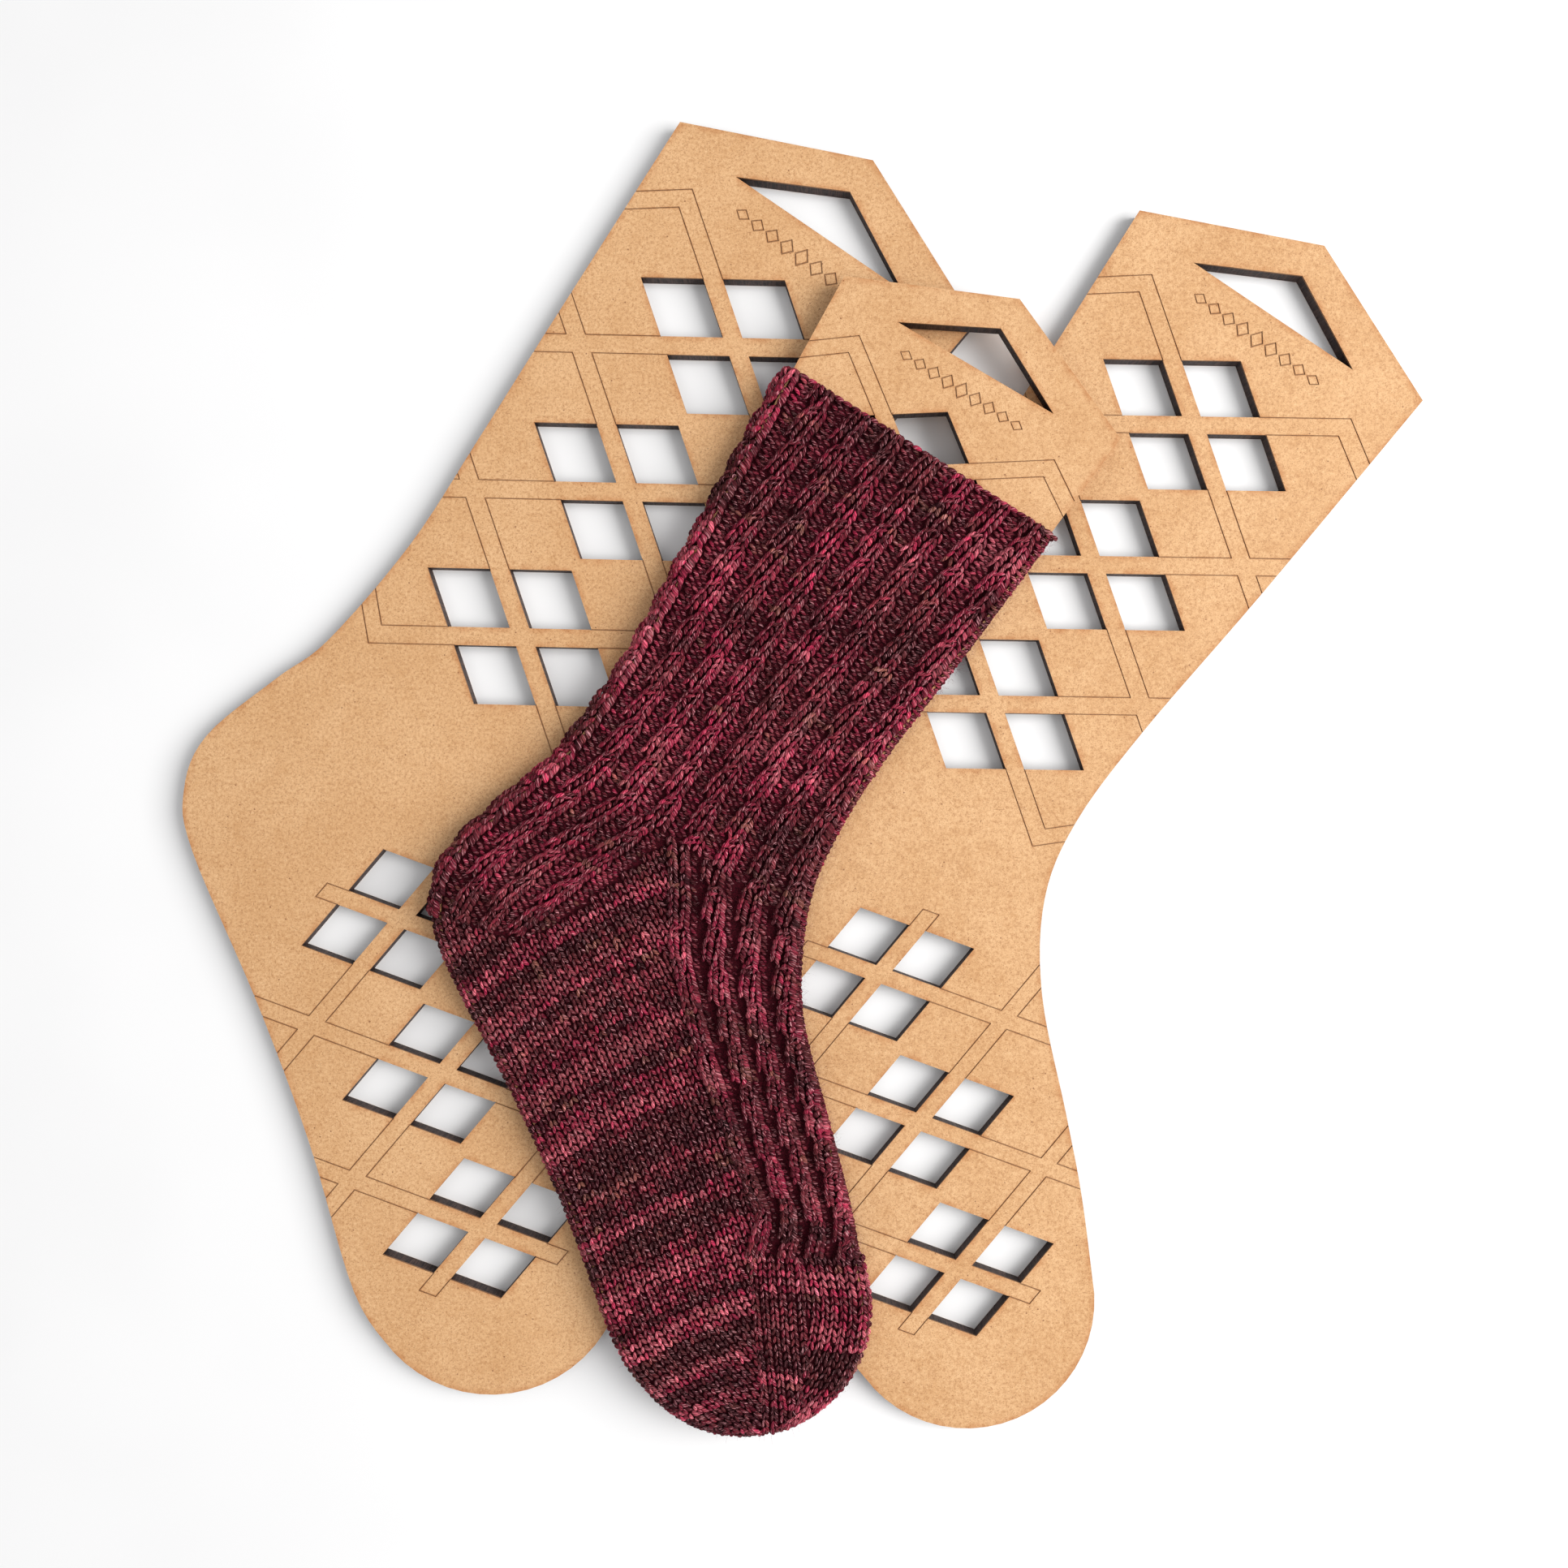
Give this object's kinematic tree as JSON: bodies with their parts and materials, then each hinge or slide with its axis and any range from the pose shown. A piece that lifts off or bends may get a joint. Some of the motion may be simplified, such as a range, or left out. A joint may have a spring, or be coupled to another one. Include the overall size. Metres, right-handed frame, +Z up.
{
  "type": "sock aid",
  "caption": "Set of flat foot-shaped sock blockers in stepped sizes, with lattice windows and a hand opening, one of them wearing a ribbed hand-knitted sock.",
  "frame": {"origin": "ankle point of the large blocker (where its leg axis and foot axis cross), on its underside", "axes": "+Z up out of the table, +Y away from the toes towards the hand openings, +X from the large blocker towards the medium one"},
  "size_m": [0.4127, 0.4347, 0.018],
  "materials": {
    "board": "raw fibreboard, faintly satin, with scorched cut edges",
    "knit": "heathered wool knit"
  },
  "bodies": {
    "large_blocker": {"large_blocker": "board"},
    "medium_blocker": {"medium_blocker": "board"},
    "small_blocker_with_sock": {"small_blocker": "board", "sock": "knit"}
  },
  "joints": [
    {"name": "table_slide", "type": "slide", "parent": "large_blocker", "child": "medium_blocker", "axis": [1, 0, 0], "range_m": [0, 0.12]},
    {"name": "lift_off", "type": "slide", "parent": "large_blocker", "child": "small_blocker_with_sock", "axis": [0, 0, 1], "range_m": [0, 0.12]}
  ]
}
